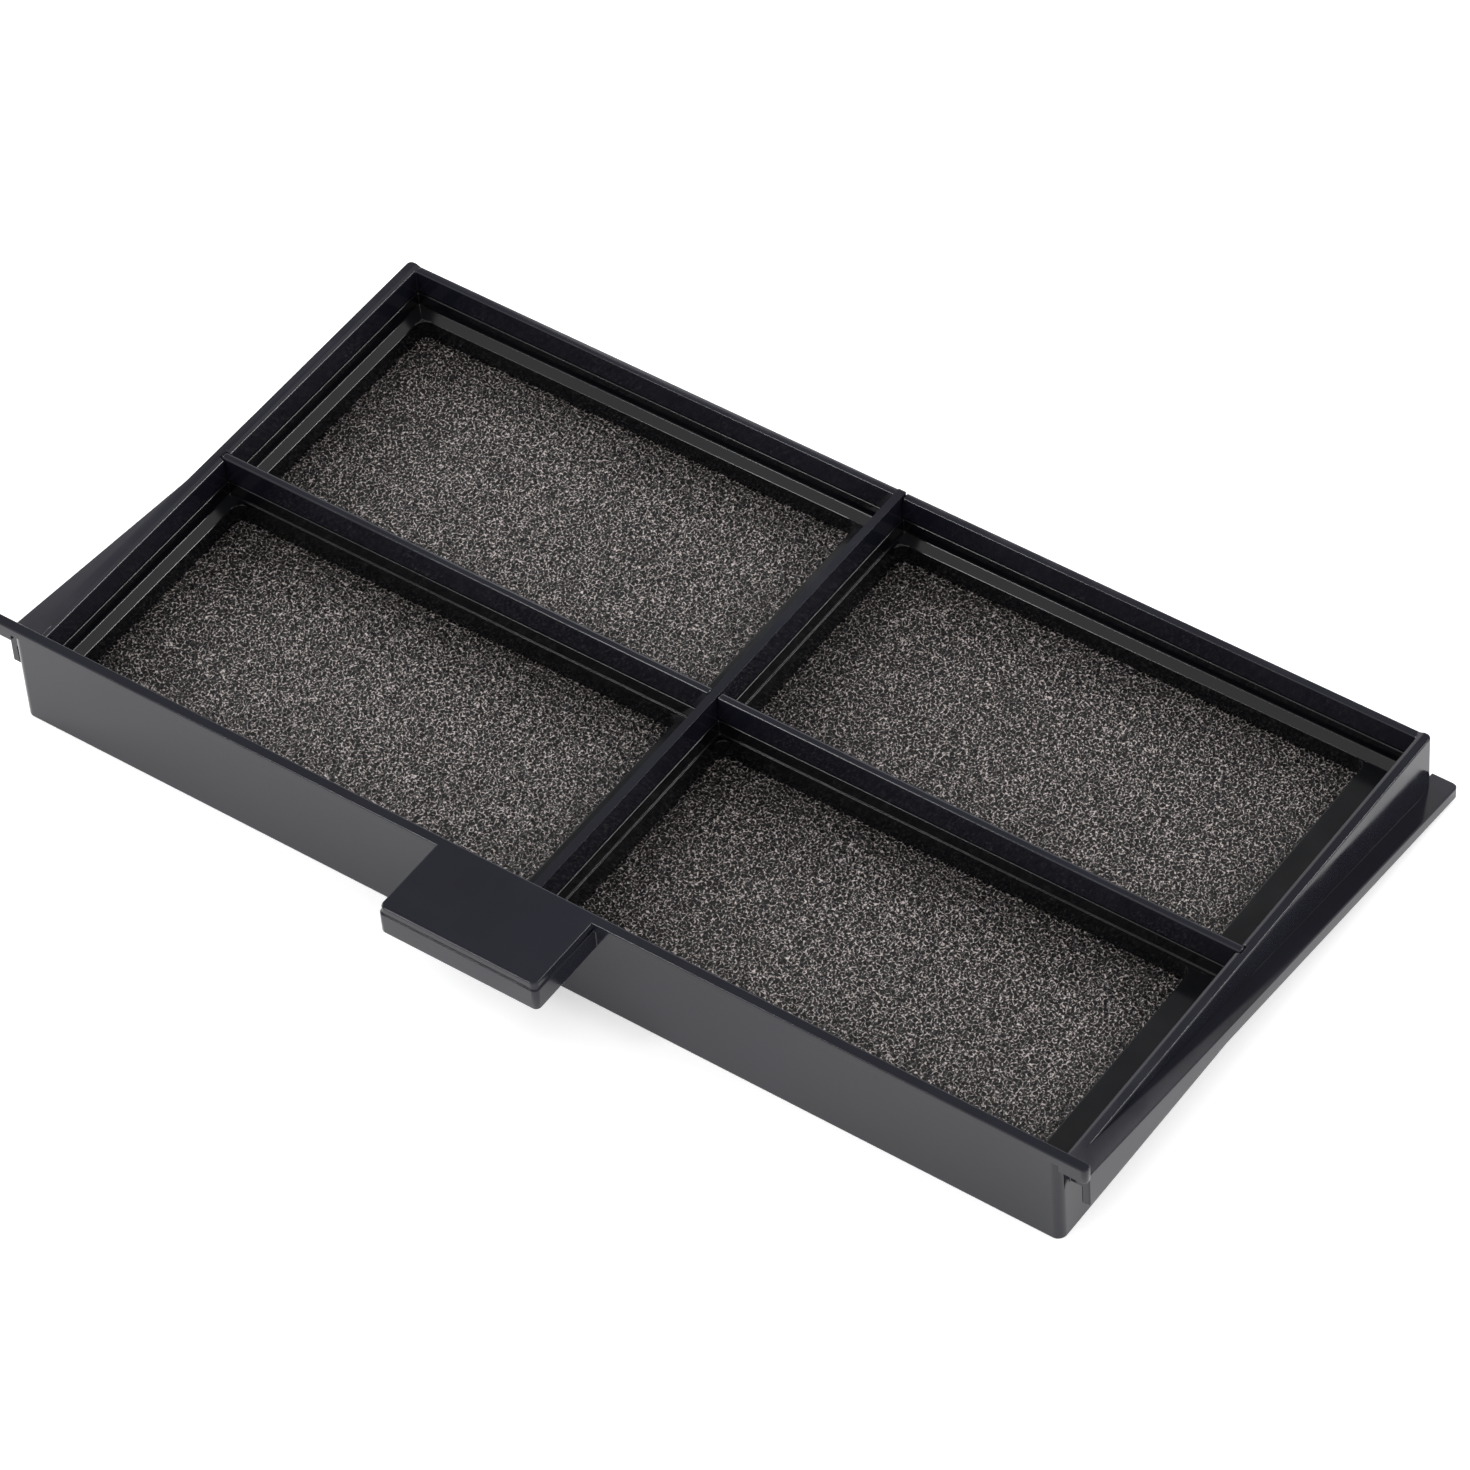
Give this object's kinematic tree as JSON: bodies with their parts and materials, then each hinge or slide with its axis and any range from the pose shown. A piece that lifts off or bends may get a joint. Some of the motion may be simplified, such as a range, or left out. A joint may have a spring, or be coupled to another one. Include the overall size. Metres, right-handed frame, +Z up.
{
  "type": "slide-in air filter tray",
  "caption": "Shallow black moulded tray with sloping side rails, a finger tab and open-cell foam pads behind windows, which slides into a slot as an air filter.",
  "frame": {"origin": "centre of the tray over its walls, on the underside that it rests on", "axes": "+X along the long side, -Y towards the pull tab, +Z up out of the open side"},
  "size_m": [0.168, 0.0988, 0.0163],
  "materials": {
    "frame_plastic": "black moulded plastic, satin to semi-gloss",
    "filter_foam": "dark grey open-cell reticulated foam"
  },
  "bodies": {
    "root": {"tray_frame": "frame_plastic", "window_frame": "frame_plastic", "long_divider": "frame_plastic", "cross_divider": "frame_plastic", "foam_pad_rear_left": "filter_foam", "foam_pad_rear_right": "filter_foam", "foam_pad_front_left": "filter_foam", "foam_pad_front_right": "filter_foam", "retaining_grille": "frame_plastic"}
  },
  "joints": []
}
